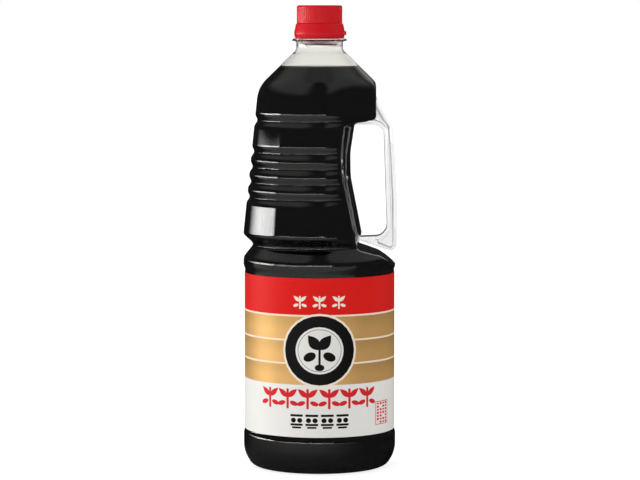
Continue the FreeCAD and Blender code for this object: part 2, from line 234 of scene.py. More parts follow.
def chain_object(chain: list[Point], closed: bool = False) -> Piece:
    """Draw a chain of edges in the XZ plane by extruding one vertex from point to point.

    Args:
        chain: Points in millimetres, across along X and up along Z.
        closed: Whether to join the last point to the first and fill the outline.

    Returns:
        The new object, left in edit mode with everything selected.
    """
    deselect_all()
    bpy.ops.mesh.primitive_plane_add(size=MM, location=(0, 0, 0))
    drawn = bpy.context.object
    bpy.ops.object.mode_set(mode="EDIT")
    bpy.ops.mesh.merge(type="CENTER")
    first = chain[0]
    bpy.ops.transform.translate(value=(first[0] * MM, 0, first[1] * MM))
    for before, point in zip(chain, chain[1:]):
        move = ((point[0] - before[0]) * MM, 0, (point[1] - before[1]) * MM)
        bpy.ops.mesh.extrude_vertices_move(TRANSFORM_OT_translate={"value": move})
    bpy.ops.mesh.select_all(action="SELECT")
    if closed:
        bpy.ops.mesh.edge_face_add()
    return drawn


def spin_chain(chain: list[Point], segments: int, name: str) -> Piece:
    """Turn a chain once round the Z axis into a closed, smooth skin.

    Args:
        chain: The section's points in millimetres, from the axis back to the axis or closed.
        segments: Number of steps round the axis.
        name: Name of the finished piece.

    Returns:
        The turned piece.
    """
    turned = chain_object(chain)
    bpy.ops.mesh.spin(
        steps=segments, angle=2 * math.pi, center=(0, 0, 0), axis=(0, 0, 1), use_auto_merge=True
    )
    close_skin(weld=0.02 * MM)
    bpy.ops.object.shade_smooth()
    return settle(turned, name)


def apply_modifier(piece: Piece, kind: str, **settings: object) -> None:
    """Add a modifier, set it and apply it."""
    pick(piece)
    modifier = piece.modifiers.new(kind.title(), kind)
    for key, value in settings.items():
        setattr(modifier, key, value)
    bpy.ops.object.modifier_apply(modifier=modifier.name)


def smooth_below(degrees: float) -> None:
    """Shade the selected pieces smooth, with a crease at every edge sharper than an angle."""
    bpy.ops.object.shade_smooth_by_angle(angle=math.radians(degrees))


def combine(piece: Piece, tool: Piece, operation: str) -> None:
    """Cut or join a piece with a tool piece, which is used up."""
    apply_modifier(piece, "BOOLEAN", operation=operation, object=tool, solver="EXACT")
    bpy.data.objects.remove(tool)


def slab(chain: list[Point], width: float, name: str) -> Piece:
    """Extrude a filled outline in the XZ plane to both sides.

    Args:
        chain: Closed outline in millimetres.
        width: Full width along Y in millimetres.
        name: Name of the new piece.

    Returns:
        The slab.
    """
    made = chain_object(chain, closed=True)
    bpy.ops.transform.translate(value=(0, -width / 2 * MM, 0))
    bpy.ops.mesh.extrude_region_move(TRANSFORM_OT_translate={"value": (0, width * MM, 0)})
    close_skin()
    return settle(made, name)


def finish_piece(piece: Piece, slot: str, *replaced: str, materials: tuple[Material, ...]) -> None:
    """Dress a piece, ride it on the body and hide the CAD nodes it stands for."""
    piece.data.materials.clear()
    for material in materials:
        piece.data.materials.append(material)
    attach(piece, BODY)
    if replaced:
        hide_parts(*replaced)
    LOG.info("%s: %d faces", piece.name, len(piece.data.polygons))


# --- Finishes ---


def linear(colour: str) -> tuple[float, float, float, float]:
    """Turn an sRGB hex colour into linear RGBA."""
    shares = [int(colour[i : i + 2], 16) / 255 for i in (1, 3, 5)]
    red, green, blue = (
        share / 12.92 if share <= 0.04045 else ((share + 0.055) / 1.055) ** 2.4
        for share in shares
    )
    return (red, green, blue, 1.0)


def add_node(
    tree: Tree,
    kind: str,
    settings: dict[str, object] | None = None,
    inputs: dict[str | int, object] | None = None,
) -> bpy.types.Node:
    """Add a node with its settings, and link or set its inputs.

    Args:
        tree: The node tree.
        kind: The node's type name.
        settings: Attributes to set on the node.
        inputs: Values or output sockets for the node's input sockets.

    Returns:
        The new node.
    """
    node = tree.nodes.new(kind)
    for name, value in (settings or {}).items():
        setattr(node, name, value)
    for socket, value in (inputs or {}).items():
        if isinstance(value, Socket):
            tree.links.new(value, node.inputs[socket])
        else:
            node.inputs[socket].default_value = value
    return node


def smooth_rise(tree: Tree, value: Socket, low: float, high: float) -> Socket:
    """Return a share that rises smoothly from 0 at low to 1 at high."""
    settings = {"interpolation_type": "SMOOTHSTEP"}
    inputs = {"Value": value, "From Min": low, "From Max": high}
    return add_node(tree, "ShaderNodeMapRange", settings, inputs).outputs[0]


def maths(tree: Tree, operation: str, *values: object, clamp: bool = False) -> Socket:
    """Return the result of a maths node on values or sockets."""
    settings = {"operation": operation, "use_clamp": clamp}
    return add_node(tree, "ShaderNodeMath", settings, dict(enumerate(values))).outputs[0]


class MaterialNodes:
    """A node material in the making, with the patterns that the finishes share.

    Patterns are laid by object coordinates, and their sizes are given in millimetres.
    """

    def __init__(self, name: str) -> None:
        """Start an empty node material."""
        self.material = bpy.data.materials.new(name)
        self.material.use_nodes = True
        self.tree = self.material.node_tree
        self.tree.nodes.clear()
        self.place = add_node(self.tree, "ShaderNodeTexCoord").outputs["Object"]

    def noise(self, size: float, detail: float = 2.0) -> Socket:
        """Return noise of a size in millimetres."""
        inputs = {"Vector": self.place, "Scale": 1 / (size * MM), "Detail": detail}
        return add_node(self.tree, "ShaderNodeTexNoise", inputs=inputs).outputs["Fac"]

    def spread(
        self, value: Socket, low: float, high: float, start: float = 0.0, stop: float = 1.0
    ) -> Socket:
        """Map a value that runs from start to stop onto low to high."""
        ends = {"From Min": start, "From Max": stop, "To Min": low, "To Max": high}
        node = add_node(self.tree, "ShaderNodeMapRange", inputs={"Value": value, **ends})
        return node.outputs[0]

    def climb(self, low: float, high: float, ends: tuple[str, str]) -> Socket:
        """Return a colour that changes smoothly from one hex colour to another with height.

        Args:
            low: Height in metres up to which the first colour holds.
            high: Height in metres from which the second colour holds.
            ends: The two hex colours.

        Returns:
            The colour's socket.
        """
        height = add_node(self.tree, "ShaderNodeSeparateXYZ", inputs={0: self.place}).outputs["Z"]
        share = smooth_rise(self.tree, height, low, high)
        ramp = add_node(self.tree, "ShaderNodeValToRGB", inputs={"Fac": share})
        for element, colour in zip(ramp.color_ramp.elements, ends):
            element.color = linear(colour)
        return ramp.outputs["Color"]

    def toned(self, colour: object, value: Socket) -> Socket:
        """Return a colour made lighter and darker by a pattern."""
        inputs = {"Color": colour, "Value": value}
        return add_node(self.tree, "ShaderNodeHueSaturation", inputs=inputs).outputs["Color"]

    def bump(self, height: Socket, depth: float, strength: float = 1.0) -> Socket:
        """Return the normal that a height pattern gives, with its depth in millimetres."""
        inputs = {"Height": height, "Distance": depth * MM, "Strength": strength}
        return add_node(self.tree, "ShaderNodeBump", inputs=inputs).outputs["Normal"]

    def close(self, shader: bpy.types.Node) -> Material:
        """Send a shader to the output and return the material."""
        add_node(self.tree, "ShaderNodeOutputMaterial", inputs={"Surface": shader.outputs[0]})
        return self.material

    def surface(self, inputs: dict[str, object]) -> Material:
        """Close the material with one principled shader and return it."""
        return self.close(add_node(self.tree, "ShaderNodeBsdfPrincipled", inputs=inputs))


@dataclass(frozen=True)
class ClearPlastic:
    """Clear PET: glossy and see-through, with the faint unevenness of moulding.

    Blown walls are glass-smooth; the thicker injection-moulded handle is a little hazy.
    """

    name: str
    colour: str
    roughness: float
    ripple_mm: float
    ripple_height_mm: float
    haze: float = 0.0
    refraction: float = 1.57

    def build(self) -> Material:
        """Return the material."""
        nodes = MaterialNodes(self.name)
        ripple = nodes.noise(self.ripple_mm, detail=1.0)
        return nodes.surface(
            {
                "Base Color": linear(self.colour),
                "Roughness": self.roughness,
                "IOR": self.refraction,
                "Transmission Weight": 1.0 - self.haze,
                "Normal": nodes.bump(ripple, self.ripple_height_mm),
            }
        )


@dataclass(frozen=True)
class SoySauceLiquid:
    """Soy sauce: so dark that it reads black, with a brown edge painted at its top. This is
    painted light for the light that shines through the thin sauce there and shows its own brown
    tint.
    """

    name: str = "soy_sauce_dark_liquid"
    deep: str = "#080708"
    # Painted light: the brown that light shining through the thin top of the sauce shows, and how
    # far down it reaches.
    edge: str = "#6b4a2c"
    lit_edge_mm: float = 1.1
    level: float = 0.0
    swirl_mm: float = 100 / 3
    roughness: Point = (0.06, 0.14)
    refraction: float = 1.38
    gloss: float = 0.1

    def build(self) -> Material:
        """Return the material."""
        nodes = MaterialNodes(self.name)
        ends = (self.deep, self.edge)
        return nodes.surface(
            {
                # Painted light: the top of the sauce is coloured brown, for light shining through
                # it.
                "Base Color": nodes.climb(self.level - self.lit_edge_mm * MM, self.level, ends),
                "Roughness": nodes.spread(nodes.noise(self.swirl_mm), *self.roughness),
                "IOR": self.refraction,
                "Specular IOR Level": self.gloss,
            }
        )


@dataclass(frozen=True)
class PrintedFilm:
    """Ink on the label's film under a thin varnish: even colour with a fine printed grain.

    A metallic ink holds flakes, which catch the light along the curve of the bottle. An ink
    with a shade fades into it towards the top of its span.
    """

    name: str
    colour: str
    metallic: float = 0.0
    roughness: float = 0.42
    gloss: float = 0.13
    varnish: float = 0.08
    varnish_roughness: float = 0.12
    grain_mm: float = 0.35
    grain: float = 0.04
    cloud_mm: float = 18.0
    relief_mm: float = 0.01
    shade: str = ""
    span_mm: Point = (0.0, 0.0)

    def ink(self, nodes: MaterialNodes) -> object:
        """Return the ink's colour, or its socket where it has a shade."""
        if not self.shade:
            return linear(self.colour)
        low, high = self.span_mm
        return nodes.climb(low * MM, high * MM, (self.colour, self.shade))

    def build(self) -> Material:
        """Return the material."""
        nodes = MaterialNodes(self.name)
        speck = nodes.noise(self.grain_mm)
        uneven = maths(nodes.tree, "ADD", speck, nodes.noise(self.cloud_mm))
        value = nodes.spread(uneven, 1 - self.grain, 1 + self.grain, 0.6, 1.4)
        return nodes.surface(
            {
                "Base Color": nodes.toned(self.ink(nodes), value),
                "Metallic": self.metallic,
                "Roughness": nodes.spread(speck, self.roughness - 0.05, self.roughness + 0.05),
                "IOR": 1.5,
                "Specular IOR Level": self.gloss,
                "Coat Weight": self.varnish,
                "Coat Roughness": self.varnish_roughness,
                "Normal": nodes.bump(speck, self.relief_mm, strength=0.25),
            }
        )


@dataclass(frozen=True)
class MouldedPolypropylene:
    """Red polypropylene from a spark-finished mould: satin, with a waxy depth of colour."""

    name: str
    colour: str
    roughness: float = 0.3
    texture_mm: float = 0.5
    relief_mm: float = 0.02
    flow_mm: float = 9.0
    flow: float = 0.07
    depth_mm: float = 0.6

    def build(self) -> Material:
        """Return the material."""
        nodes = MaterialNodes(self.name)
        texture = nodes.noise(self.texture_mm, detail=3.0)
        value = nodes.spread(nodes.noise(self.flow_mm), 1 - self.flow, 1 + self.flow)
        return nodes.surface(
            {
                "Base Color": nodes.toned(linear(self.colour), value),
                "Roughness": nodes.spread(texture, self.roughness - 0.06, self.roughness + 0.08),
                "IOR": 1.49,
                "Specular IOR Level": 0.25,
                "Subsurface Weight": 0.15,
                "Subsurface Radius": (1.0, 0.2, 0.1),
                "Subsurface Scale": self.depth_mm * MM,
                "Normal": nodes.bump(texture, self.relief_mm, strength=0.3),
            }
        )


# --- The bottle's form ---


@dataclass
class BottleForm:
    """The blown bottle's form: a turned outline, flattened and recessed at the grip.

    All sizes are in millimetres. Heights come from the frame's own boxes.
    """

    rim: float
    panel_low: float
    panel_high: float
    body_radius: float
    panel_radius: float
    wall: float = 0.7
    neck_wall: float = 1.1
    segments: int = 192
    crowding: float = 0.3
    base_rise: float = 6.0
    waist_radius: float = 44.7
    grip_foot_radius: float = 51.9
    grip_top_radius: float = 41.7
    neck_radius: float = 15.7
    lip_radius: float = 18.8
    lip_height: float = 1.55
    finish_radius: float = 13.6
    first_groove: float = 25.3
    groove_gap: float = 10.2
    top_groove_gap: float = 21.3
    groove_depth: float = 1.65
    groove_half_height: float = 4.3
    side_azimuth: float = 55.0
    side_reach: float = 47.3
    side_lean: float = 4.3
    side_blend: float = 4.5
    overhang_reach: float = 38.2
    recess_bow: float = 3.0
    bow_half_width: float = 36.0
    bow_limit: float = 1.35
    flank: Point = (2.4, 11.4)
    ledge_flank: float = 1.0
    waist: float = field(init=False)
    grip_foot: float = field(init=False)
    grip_top: float = field(init=False)
    neck_foot: float = field(init=False)
    ring: float = field(init=False)
    recess: list[Point] = field(init=False)

    def __post_init__(self) -> None:
        """Stack the heights that depend on one another."""
        self.waist = self.panel_high + 16.4
        self.grip_foot = self.waist + 6.7
        self.grip_top = self.grip_foot + 99.5
        self.neck_foot = self.grip_top + 25.3
        self.ring = self.neck_foot + 6.0
        self.recess = self.recess_chain()

    def outline(self) -> list[Corner]:
        """Return the corners of the turned outline, from the base's centre to the rim."""
        body, panel, neck = self.body_radius, self.panel_radius, self.neck_radius
        return [
            Corner(0, self.base_rise),
            Corner(33.0, 0, 8.0),
            Corner(46.0, 0, 7.0),
            Corner(body, 10.0, 20.0),
            Corner(body, self.panel_low - 1.3, 1.6),
            Corner(panel, self.panel_low, 0.6),
            Corner(panel, self.panel_high, 0.6),
            Corner(body, self.panel_high + 1.6, 1.6),
            Corner(body, self.panel_high + 7.4, 5.5),
            Corner(self.waist_radius, self.waist, 2.4),
            Corner(self.grip_foot_radius, self.grip_foot, 2.6),
            Corner(self.grip_top_radius, self.grip_top, 22.0),
            Corner(neck + 0.6, self.neck_foot - 0.5, 1.0),
            Corner(neck, self.neck_foot + 0.8, 0.8),
            Corner(neck, self.ring, 0.7),
            Corner(self.lip_radius, self.ring, 0.45),
            Corner(self.lip_radius, self.ring + self.lip_height, 0.45),
            Corner(self.finish_radius, self.ring + self.lip_height + 0.05),
            Corner(self.finish_radius, self.rim),
        ]

    def groove(self, height: float) -> float:
        """Return how deep the grip's ring grooves lie at a height."""
        first = self.grip_foot + self.first_groove
        close = [first + self.groove_gap * i for i in range(4)]
        depth = 0.0
        for centre in [*close, close[-1] + self.top_groove_gap]:
            away = abs(height - centre) / self.groove_half_height
            if away < 1:
                depth = max(depth, self.groove_depth * (1 + math.cos(math.pi * away)) / 2)
        return depth

    def recess_chain(self) -> list[Point]:
        """Return the side outline of the overhang, finger recess and shelf, from the top."""
        overhang = self.grip_top - 21.3
        corners = [
            Corner(self.overhang_reach, self.neck_foot),
            Corner(self.overhang_reach, overhang, 3.2),
            Corner(24.0, overhang - 2.7, 3.0),
            Corner(21.0, self.grip_top - 44.0, 30.0),
            Corner(21.2, self.grip_top - 60.2, 40.0),
            Corner(28.7, self.waist + 7.7, 3.4),
            Corner(25.4, self.waist - 1.6, 2.0),
            Corner(41.3, self.waist - 6.4, 12.0),
            Corner(self.body_radius + 4, self.panel_high + 1.0),
        ]
        return trace(corners, 0.4)

    def recess_reach(self, height: float, inset: float) -> float:
        """Return how far the body reaches towards +X at a height, moved in by an inset."""
        reach = math.inf
        for across, up in self.recess:
            away = abs(up - height)
            if away <= max(inset, 0.21):
                reach = min(reach, across - math.sqrt(max(inset * inset - away * away, 0.0)))
        if reach < math.inf or height < self.recess[-1][1]:
            return reach
        return self.overhang_reach - inset

    def radius(self, turned: float, angle: float, height: float, inset: float) -> float:
        """Return the body's radius at an angle from +X and a height.

        Args:
            turned: Radius of the turned outline there.
            angle: Direction from the axis, in radians from +X.
            height: Height in millimetres.
            inset: How far the surface lies inside the outer one.

        Returns:
            The radius in millimetres.
        """
        if height < self.panel_high + 1.5 or height > self.neck_foot - 1:
            return turned
        reach = turned
        if height > self.waist - 1:
            lean = math.tan(math.radians(self.side_lean)) * (height - self.waist)
            side = self.side_reach - lean - inset
            for turn in (-1, 1):
                facing = math.cos(angle - turn * math.radians(self.side_azimuth))
                if facing > 0.3:
                    reach = soft_min(reach, side / facing, self.side_blend)
        facing = math.cos(angle)
        if facing > 0.05:
            limit = self.recess_reach(height, inset)
            if limit < math.inf:
                bow = self.recess_bow * smooth_step(self.waist - 4, self.waist + 8, height)
                bow *= 1 - smooth_step(self.grip_top - 26, self.grip_top - 22, height)
                sideways = limit * math.tan(abs(angle)) / self.bow_half_width
                sideways = min(sideways, self.bow_limit)
                low, high = self.flank
                share = smooth_step(self.waist + 22, self.grip_top - 30, height)
                flank = low + (high - low) * share
                if height > self.grip_top - 23:
                    flank = self.ledge_flank
                reach = soft_min(reach, (limit - bow * sideways**2) / facing, flank)
        return reach

    def shape_skin(self, piece: Piece, inset_at: Callable[[int], float]) -> None:
        """Flatten and recess a turned skin, and crowd its columns on the handle's side."""
        for vertex in piece.data.vertices:
            across, aside, up = vertex.co
            radius = math.hypot(across, aside) / MM
            if radius < 0.05:
                continue
            angle = math.atan2(aside, across)
            angle -= self.crowding * math.sin(angle)
            reach = self.radius(radius, angle, up / MM, inset_at(vertex.index))
            vertex.co.x = reach * math.cos(angle) * MM
            vertex.co.y = reach * math.sin(angle) * MM
        piece.data.update()

    def row_step(self, height: float) -> float:
        """Return the spacing that the skin's rows need at a height."""
        stretches = {
            "straight panel": (self.panel_low + 2, self.panel_high - 2, 9.0),
            "overhang's edge": (self.grip_top - 25.5, self.grip_top - 19, 0.4),
            "waist and shelf": (self.waist - 9, self.grip_foot + 3, 0.7),
            "ring grooves": (self.grip_foot + 20, self.grip_foot + 82, 0.85),
        }
        for low, high, step in stretches.values():
            if low < height < high:
                return step
        return 1.5

    def rows(self) -> list[Point]:
        """Return the turned outline from the base's centre up, thinned to what it needs."""
        fine = trace(self.outline(), 0.2)
        rows = [fine[0]]
        for across, up in fine[1:]:
            across -= self.groove(up)
            if math.dist(rows[-1], (across, up)) >= self.row_step(up):
                rows.append((across, up))
        return [*rows, (self.finish_radius, self.rim)]


@dataclass
class ClearShell:
    """The clear blown shell, with its wall, neck and support ring."""

    form: BottleForm
    finish: ClearPlastic

    def build(self) -> Piece:
        """Return the finished shell."""
        outer = self.form.rows()
        inner = []
        for (across, up), (inside, inside_up) in zip(outer, offset_chain(outer, self.form.wall)):
            if up > self.form.neck_foot - 1:
                below_ring = smooth_step(self.form.ring - 2.5, self.form.ring, up)
                inside = across - self.form.wall - 0.2
                if across < self.form.neck_radius + 0.1 or up >= self.form.ring:
                    step_in = (self.form.neck_radius - self.form.finish_radius) * below_ring
                    inside = self.form.neck_radius - step_in - self.form.neck_wall
            inner.append((max(inside, 0.0), inside_up if up < self.form.neck_foot else up))
        inner[0] = (0.0, outer[0][1] + self.form.wall)
        piece = spin_chain(outer + inner[::-1], self.form.segments, "bottle_shell")
        outer_radius = radius_lookup(outer)
        insets = []
        for vertex in piece.data.vertices:
            x, y, up = (value / MM for value in vertex.co)
            inside = math.hypot(x, y) < outer_radius(up) - self.form.wall / 2
            insets.append(self.form.wall if inside else 0.0)
        self.form.shape_skin(piece, lambda index: insets[index])
        finish_piece(piece, "clear_plastic", "bottle", materials=(self.finish.build(),))
        return piece


def radius_lookup(rows: list[Point]) -> Callable[[float], float]:
    """Return a function that gives a turned outline's radius at a height above the heel."""
    wall = sorted((up, across) for across, up in rows if across > 12 and up > 0.01)

    def look(height: float) -> float:
        """Return the radius at a height."""
        for (low, near), (high, far) in zip(wall, wall[1:]):
            if low <= height <= high and high > low:
                return near + (far - near) * (height - low) / (high - low)
        return wall[-1][1]

    return look


@dataclass
class Liquid:
    """The soy sauce, which reaches half way into the wall so that no gap shows."""

    form: BottleForm
    level: float
    finish: SoySauceLiquid
    bite: float = 0.35

    def build(self) -> Piece:
        """Return the finished body of liquid."""
        inset = self.form.wall - self.bite
        chain = [
            (max(across, 0.0), up)
            for across, up in offset_chain(self.form.rows(), inset)
            if up < self.level - 0.25
        ]
        chain[0] = (0.0, chain[0][1])
        last = chain[-1]
        surface = last[0] - (self.level - last[1])
        top = [(surface, self.level)]
        top += [(surface * share, self.level) for share in (0.97, 0.8, 0.5, 0.2)]
        piece = spin_chain([*chain, *top, (0.0, self.level)], self.form.segments, "soy_sauce_fill")
        self.form.shape_skin(piece, lambda index: inset)
        finish_piece(piece, "soy_sauce", "soy_sauce", materials=(self.finish.build(),))
        return piece


# --- Handle ---


@dataclass
class SideHandle:
    """The clear handle: a moulded loop of I section whose two arms meet the bottle."""

    form: BottleForm
    finish: ClearPlastic
    reach: float
    width: float = 14.0
    web: float = 2.4
    bar: float = 6.5
    taper: float = 2.0
    outer_flange: float = 2.4
    inner_flange: float = 2.8
    edge: float = 0.55
    upper_root: float = 37.7
    lower_root: float = 26.4
    ledge_root: float = 23.6
    channel_end: float = 39.3
    head_drop: float = 7.1
    elbow_drop: float = 26.2
    gap_drop: float = 25.2
    foot_drop: float = 6.0
    gap_corner: float = 8.0
    bend: float = 60.0
    gate_radius: float = 1.9
    gate_rise: float = 0.7
    step: float = 3.0

    def outside(self, inset: float, root: float) -> list[Corner]:
        """Return the outer side from the upper root to the lower corner, moved in."""
        top = self.form.grip_top - self.head_drop - inset
        reach = self.reach - inset
        head = reach - self.taper
        elbow = self.form.grip_top - self.elbow_drop
        waist = self.form.waist
        return [
            Corner(root, top),
            Corner(self.form.overhang_reach + 1.0 - inset, top),
            Corner(head - 4.0, elbow + 3.4, 5.0),
            Corner(head - 1.0, elbow, 3.0),
            Corner(head + 0.4, elbow - 20.0, self.bend),
            Corner(reach, waist + 30.0, self.bend),
            Corner(reach, waist - self.foot_drop + inset, 4.6 - inset),
        ]

    def inside(self, outset: float, root: float) -> list[Corner]:
        """Return the inner side round the finger gap, from its foot to the upper root."""
        reach = self.reach - self.bar + outset
        head = self.form.grip_top - self.gap_drop + outset
        waist = self.form.waist
        return [
            Corner(reach, waist + 5.6 - outset, self.gap_corner + outset),
            Corner(reach - self.taper + 0.3, waist + 55.0, self.bend),
            Corner(reach - self.taper - 0.6, head, self.gap_corner + outset),
            Corner(root, head),
        ]

    def blank(self) -> list[Corner]:
        """Return the outline of the whole loop."""
        waist, grip_top = self.form.waist, self.form.grip_top
        return [
            *self.outside(0.0, self.upper_root),
            Corner(self.lower_root, waist + 2.7),
            Corner(self.lower_root, waist + 4.8),
            *self.inside(0.0, self.ledge_root),
            Corner(self.ledge_root, grip_top - 23.2),
            Corner(self.upper_root, grip_top - 19.5),
        ]

    def channel(self) -> list[Corner]:
        """Return the outline of the channel between the two flanges."""
        waist, root = self.form.waist, self.upper_root - 4.0
        return [
            *self.outside(self.outer_flange, root),
            Corner(self.channel_end, waist - self.foot_drop + self.outer_flange + 3.8, 0.8),
            Corner(self.channel_end, waist + 2.8, 0.8),
            *self.inside(self.inner_flange, root),
        ]

    def build(self) -> Piece:
        """Return the finished handle."""
        loop = slab(trace(self.blank(), self.step, closed=True), self.width, "side_handle")
        deep = self.width - self.web
        for side in (-1, 1):
            cutter = slab(trace(self.channel(), self.step, closed=True), deep, "channel_cutter")
            bpy.ops.transform.translate(value=(0, side * self.width / 2 * MM, 0))
            settle(cutter, "channel_cutter")
            combine(loop, cutter, "DIFFERENCE")
        bevel = {"width": self.edge * MM, "segments": 3, "angle_limit": 0.7}
        apply_modifier(loop, "BEVEL", limit_method="ANGLE", **bevel)
        deselect_all()
        bpy.ops.mesh.primitive_cylinder_add(
            vertices=32,
            radius=self.gate_radius * MM,
            depth=(self.web + self.gate_rise) * MM,
            location=((self.reach - 4.9) * MM, 0, (self.form.waist - 0.2) * MM),
            rotation=(math.pi / 2, 0, 0),
        )
        combine(loop, settle(bpy.context.object, "gate_mark"), "UNION")
        close_skin()
        smooth_below(32)
        finish_piece(loop, "handle_plastic", "handle", materials=(self.finish.build(),))
        return loop


# --- Label ---


def placed(points: list[Point], x: float, z: float, tilt: float) -> list[Point]:
    """Turn points by an angle in degrees and move them to a place."""
    cosine, sine = math.cos(math.radians(tilt)), math.sin(math.radians(tilt))
    return [(x + a * cosine - b * sine, z + a * sine + b * cosine) for a, b in points]


def ellipse(x: float, z: float, width: float, height: float, tilt: float = 0.0) -> list[Point]:
    """Return an ellipse's outline, tilted in degrees."""
    angles = [2 * math.pi * i / 28 for i in range(28)]
    points = [(width / 2 * math.cos(angle), height / 2 * math.sin(angle)) for angle in angles]
    return placed(points, x, z, tilt)


def leaf(x: float, z: float, length: float, width: float, tilt: float) -> list[Point]:
    """Return a leaf's outline, pointed at both ends, from its foot at (x, z)."""
    points = [
        (length * i / 10, side * width / 2 * math.sin(math.pi * (i / 10) ** 0.85))
        for side, order in ((1, range(11)), (-1, range(9, 0, -1)))
        for i in order
    ]
    return placed(points, x, z, tilt)


def block(x: float, z: float, width: float, height: float, rounding: float = 0.4) -> list[Point]:
    """Return a rounded rectangle's outline about its centre."""
    left, right, low, high = x - width / 2, x + width / 2, z - height / 2, z + height / 2
    corners = [(left, low), (right, low), (right, high), (left, high)]
    return trace([Corner(a, b, rounding) for a, b in corners], 60.0, closed=True)


@dataclass(frozen=True)
class Band:
    """A field of colour round the label, from the band below it up to a height."""

    top: float
    finish: PrintedFilm


@dataclass
class WrapLabel:
    """The printed film label: bands of colour, a round emblem and rows of simple shapes.

    Heights are in millimetres in the frame. Places across are arc lengths from the front.
    """

    low: float
    high: float
    radius: float
    bands: list[Band]
    thickness: float = 0.25
    ink: float = 0.035
    segments: int = 160
    bisect_step: float = 1.6
    overlap: float = 9.0
    emblem_height: float = 84.3
    seal_size: Point = (14.5, 15.8)

    def sleeve(self) -> Piece:
        """Return the film sleeve, with one material for each band."""
        outer, inner = self.radius, self.radius - self.thickness
        heights = [self.low, *(band.top for band in self.bands)]
        chain = [(inner, self.low), *((outer, height) for height in heights)]
        chain += [(inner, self.high), (inner, self.low)]
        piece = spin_chain(chain, self.segments, "label_sleeve")
        smooth_below(40)
        inks = tuple(band.finish.build() for band in self.bands)
        finish_piece(piece, "label_print", "label", materials=inks)
        for face in piece.data.polygons:
            for index, band in enumerate(self.bands):
                if face.center.z / MM < band.top - 0.01 or index == len(self.bands) - 1:
                    face.material_index = index
                    break
        return piece

    def wrap(self, piece: Piece) -> None:
        """Lay a flat piece round the label: X is the arc from the front, -Y is outwards."""
        for vertex in piece.data.vertices:
            angle = vertex.co.x / (self.radius * MM)
            radius = self.radius * MM - vertex.co.y
            vertex.co.x = radius * math.sin(angle)
            vertex.co.y = -radius * math.cos(angle)
        piece.data.update()

    def print_shapes(
        self, name: str, shapes: list[list[Point]], layer: InkLayer, ink: Ink | PrintedFilm
    ) -> Piece:
        """Print flat shapes on the label as one thin, closed piece.

        Args:
            name: Name of the piece.
            shapes: Outlines as arc length and height in millimetres.
            layer: How far out the ink lies.
            ink: The ink, or the film whose colour is printed on.

        Returns:
            The finished piece.
        """
        made = [slab(shape, self.ink * layer.value * 2, name) for shape in shapes]
        deselect_all()
        for piece in made:
            piece.select_set(True)
        piece = made[0]
        bpy.context.view_layer.objects.active = piece
        if len(made) > 1:
            bpy.ops.object.join()
        bpy.ops.object.mode_set(mode="EDIT")
        steps = [point[0] / self.bisect_step for shape in shapes for point in shape]
        for i in range(math.ceil(min(steps)), math.floor(max(steps)) + 1):
            place = self.bisect_step * i * MM + 1e-6
            bpy.ops.mesh.select_all(action="SELECT")
            bpy.ops.mesh.bisect(plane_co=(place, 0, 0), plane_no=(1, 0, 0))
        close_skin()
        piece.name = piece.data.name = name
        self.wrap(piece)
        finish = PrintedFilm(*ink.value) if isinstance(ink, Ink) else ink
        finish_piece(piece, "label_print", materials=(finish.build(),))
        return piece

    def emblem(self) -> None:
        """Print the round emblem: pale rim, black ring, pale field and a soybean sprig."""
        z = self.emblem_height
        rounds = [
            ("rim", 50.6, 49.4, InkLayer.LOW, Ink.CREAM),
            ("ring", 47.6, 46.6, InkLayer.MIDDLE, Ink.BLACK),
            ("field", 32.5, 31.6, InkLayer.HIGH, Ink.GREY),
            ("line", 29.4, 28.6, InkLayer.TOP, Ink.BLACK),
            ("disc", 28.8, 28.0, InkLayer.LINE, Ink.GREY),
        ]
        for name, width, height, layer, ink in rounds:
            self.print_shapes(f"emblem_{name}", [ellipse(0, z, width, height)], layer, ink)
        sprig = [
            leaf(0, z + 0.5, 12.5, 7.2, 52),
            leaf(0, z + 0.5, 12.5, 7.2, 128),
            block(0, z - 3.6, 1.5, 13.5, 0.5),
            ellipse(-6.6, z - 4.2, 8.6, 5.8, 24),
            ellipse(6.6, z - 4.2, 8.6, 5.8, -24),
            ellipse(0, z - 11.4, 6.4, 4.4),
        ]
        self.print_shapes("emblem_sprig", sprig, InkLayer.MOTIF, Ink.BLACK)

    def sprigs(self, z: float, arcs: list[float], size: float) -> list[list[Point]]:
        """Return small sprigs of two leaves, a stem and two beans at each place."""
        shapes = []
        for arc in arcs:
            for tilt in (40, 140):
                shapes.append(leaf(arc, z + 0.02 * size, 0.58 * size, 0.24 * size, tilt))
            shapes.append(block(arc, z - 0.04 * size, 0.11 * size, 0.88 * size, 0.04 * size))
            for side in (-1, 1):
                place = (arc + side * 0.29 * size, z - 0.24 * size)
                shapes.append(ellipse(*place, 0.38 * size, 0.2 * size, -18 * side))
        return shapes

    def beans(self, z: float, arcs: list[float], size: float) -> list[list[Point]]:
        """Return rows of stacked bars and beans at each place."""
        bars = ((0.4, 0.9, 0.16, 0.05), (-0.24, 0.9, 0.15, 0.05), (-0.44, 0.66, 0.13, 0.04))
        shapes = []
        for arc in arcs:
            for up, wide, high, rounding in bars:
                shapes.append(block(arc, z + up * size, wide * size, high * size, rounding * size))
            for side in (-0.23, 0.23):
                place = (arc + side * size, z + 0.06 * size)
                shapes.append(ellipse(*place, 0.36 * size, 0.34 * size))
        return shapes

